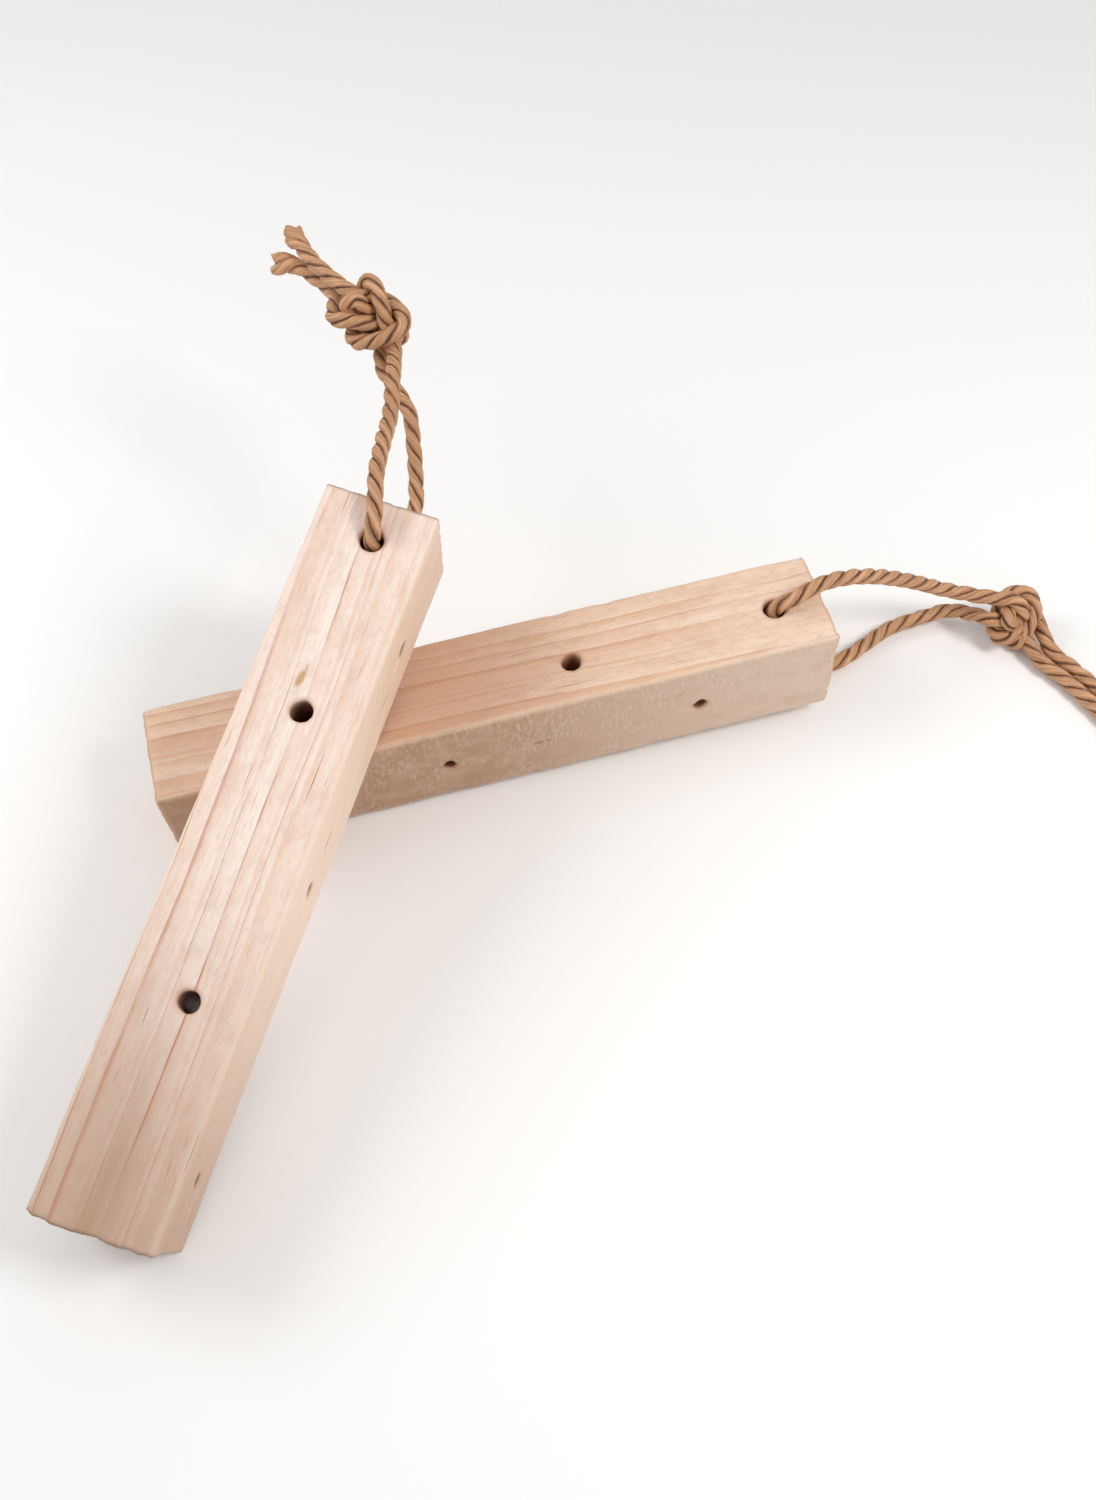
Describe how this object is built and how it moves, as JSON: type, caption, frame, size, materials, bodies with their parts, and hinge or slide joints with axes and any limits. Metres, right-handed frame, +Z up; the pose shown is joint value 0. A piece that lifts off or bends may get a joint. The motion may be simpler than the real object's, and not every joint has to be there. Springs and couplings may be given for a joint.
{
  "type": "claves",
  "caption": "Pair of square pine claves, each drilled across both ways and carrying a knotted hanging loop of laid paper cord, one leaning across the other.",
  "frame": {"origin": "on the ground, under the middle of the box that holds the two bars", "axes": "+Z up; +X along the lower clave towards its cord end; +Y away from the free end of the upper clave"},
  "size_m": [0.2634, 0.213, 0.0741],
  "materials": {
    "orange_pine": "bare planed pine, matt, fine orange grain lines",
    "pale_pine": "bare planed pine, matt with a soft sheen, pale cream with reddish grain lines",
    "paper_cord": "three-ply laid kraft paper cord, brown, matt"
  },
  "bodies": {
    "lower_clave": {"lower_bar": "orange_pine"},
    "lower_cord": {"lower_cord_loop": "paper_cord", "lower_cord_knot": "paper_cord", "lower_cord_tail_left": "paper_cord", "lower_cord_tail_right": "paper_cord"},
    "upper_clave": {"upper_bar": "pale_pine"},
    "upper_cord": {"upper_cord_loop": "paper_cord", "upper_cord_knot": "paper_cord", "upper_cord_tail_left": "paper_cord", "upper_cord_tail_right": "paper_cord"}
  },
  "joints": [
    {"name": "upper_clave_lift", "type": "slide", "parent": "lower_clave", "child": "upper_clave", "axis": [0, 0, 1], "range_m": [0, 0.12]},
    {"name": "lower_cord_swivel", "type": "hinge", "parent": "lower_clave", "child": "lower_cord", "pos_m": [0.08352, 0.03596, 0.01678], "axis": [-0.0282, 0, 0.9996], "range_deg": [-35, 35]},
    {"name": "upper_cord_swivel", "type": "hinge", "parent": "upper_clave", "child": "upper_cord", "pos_m": [-0.00393, 0.05517, 0.04939], "axis": [-0.0271, -0.271, 0.9622], "range_deg": [-35, 35]}
  ]
}
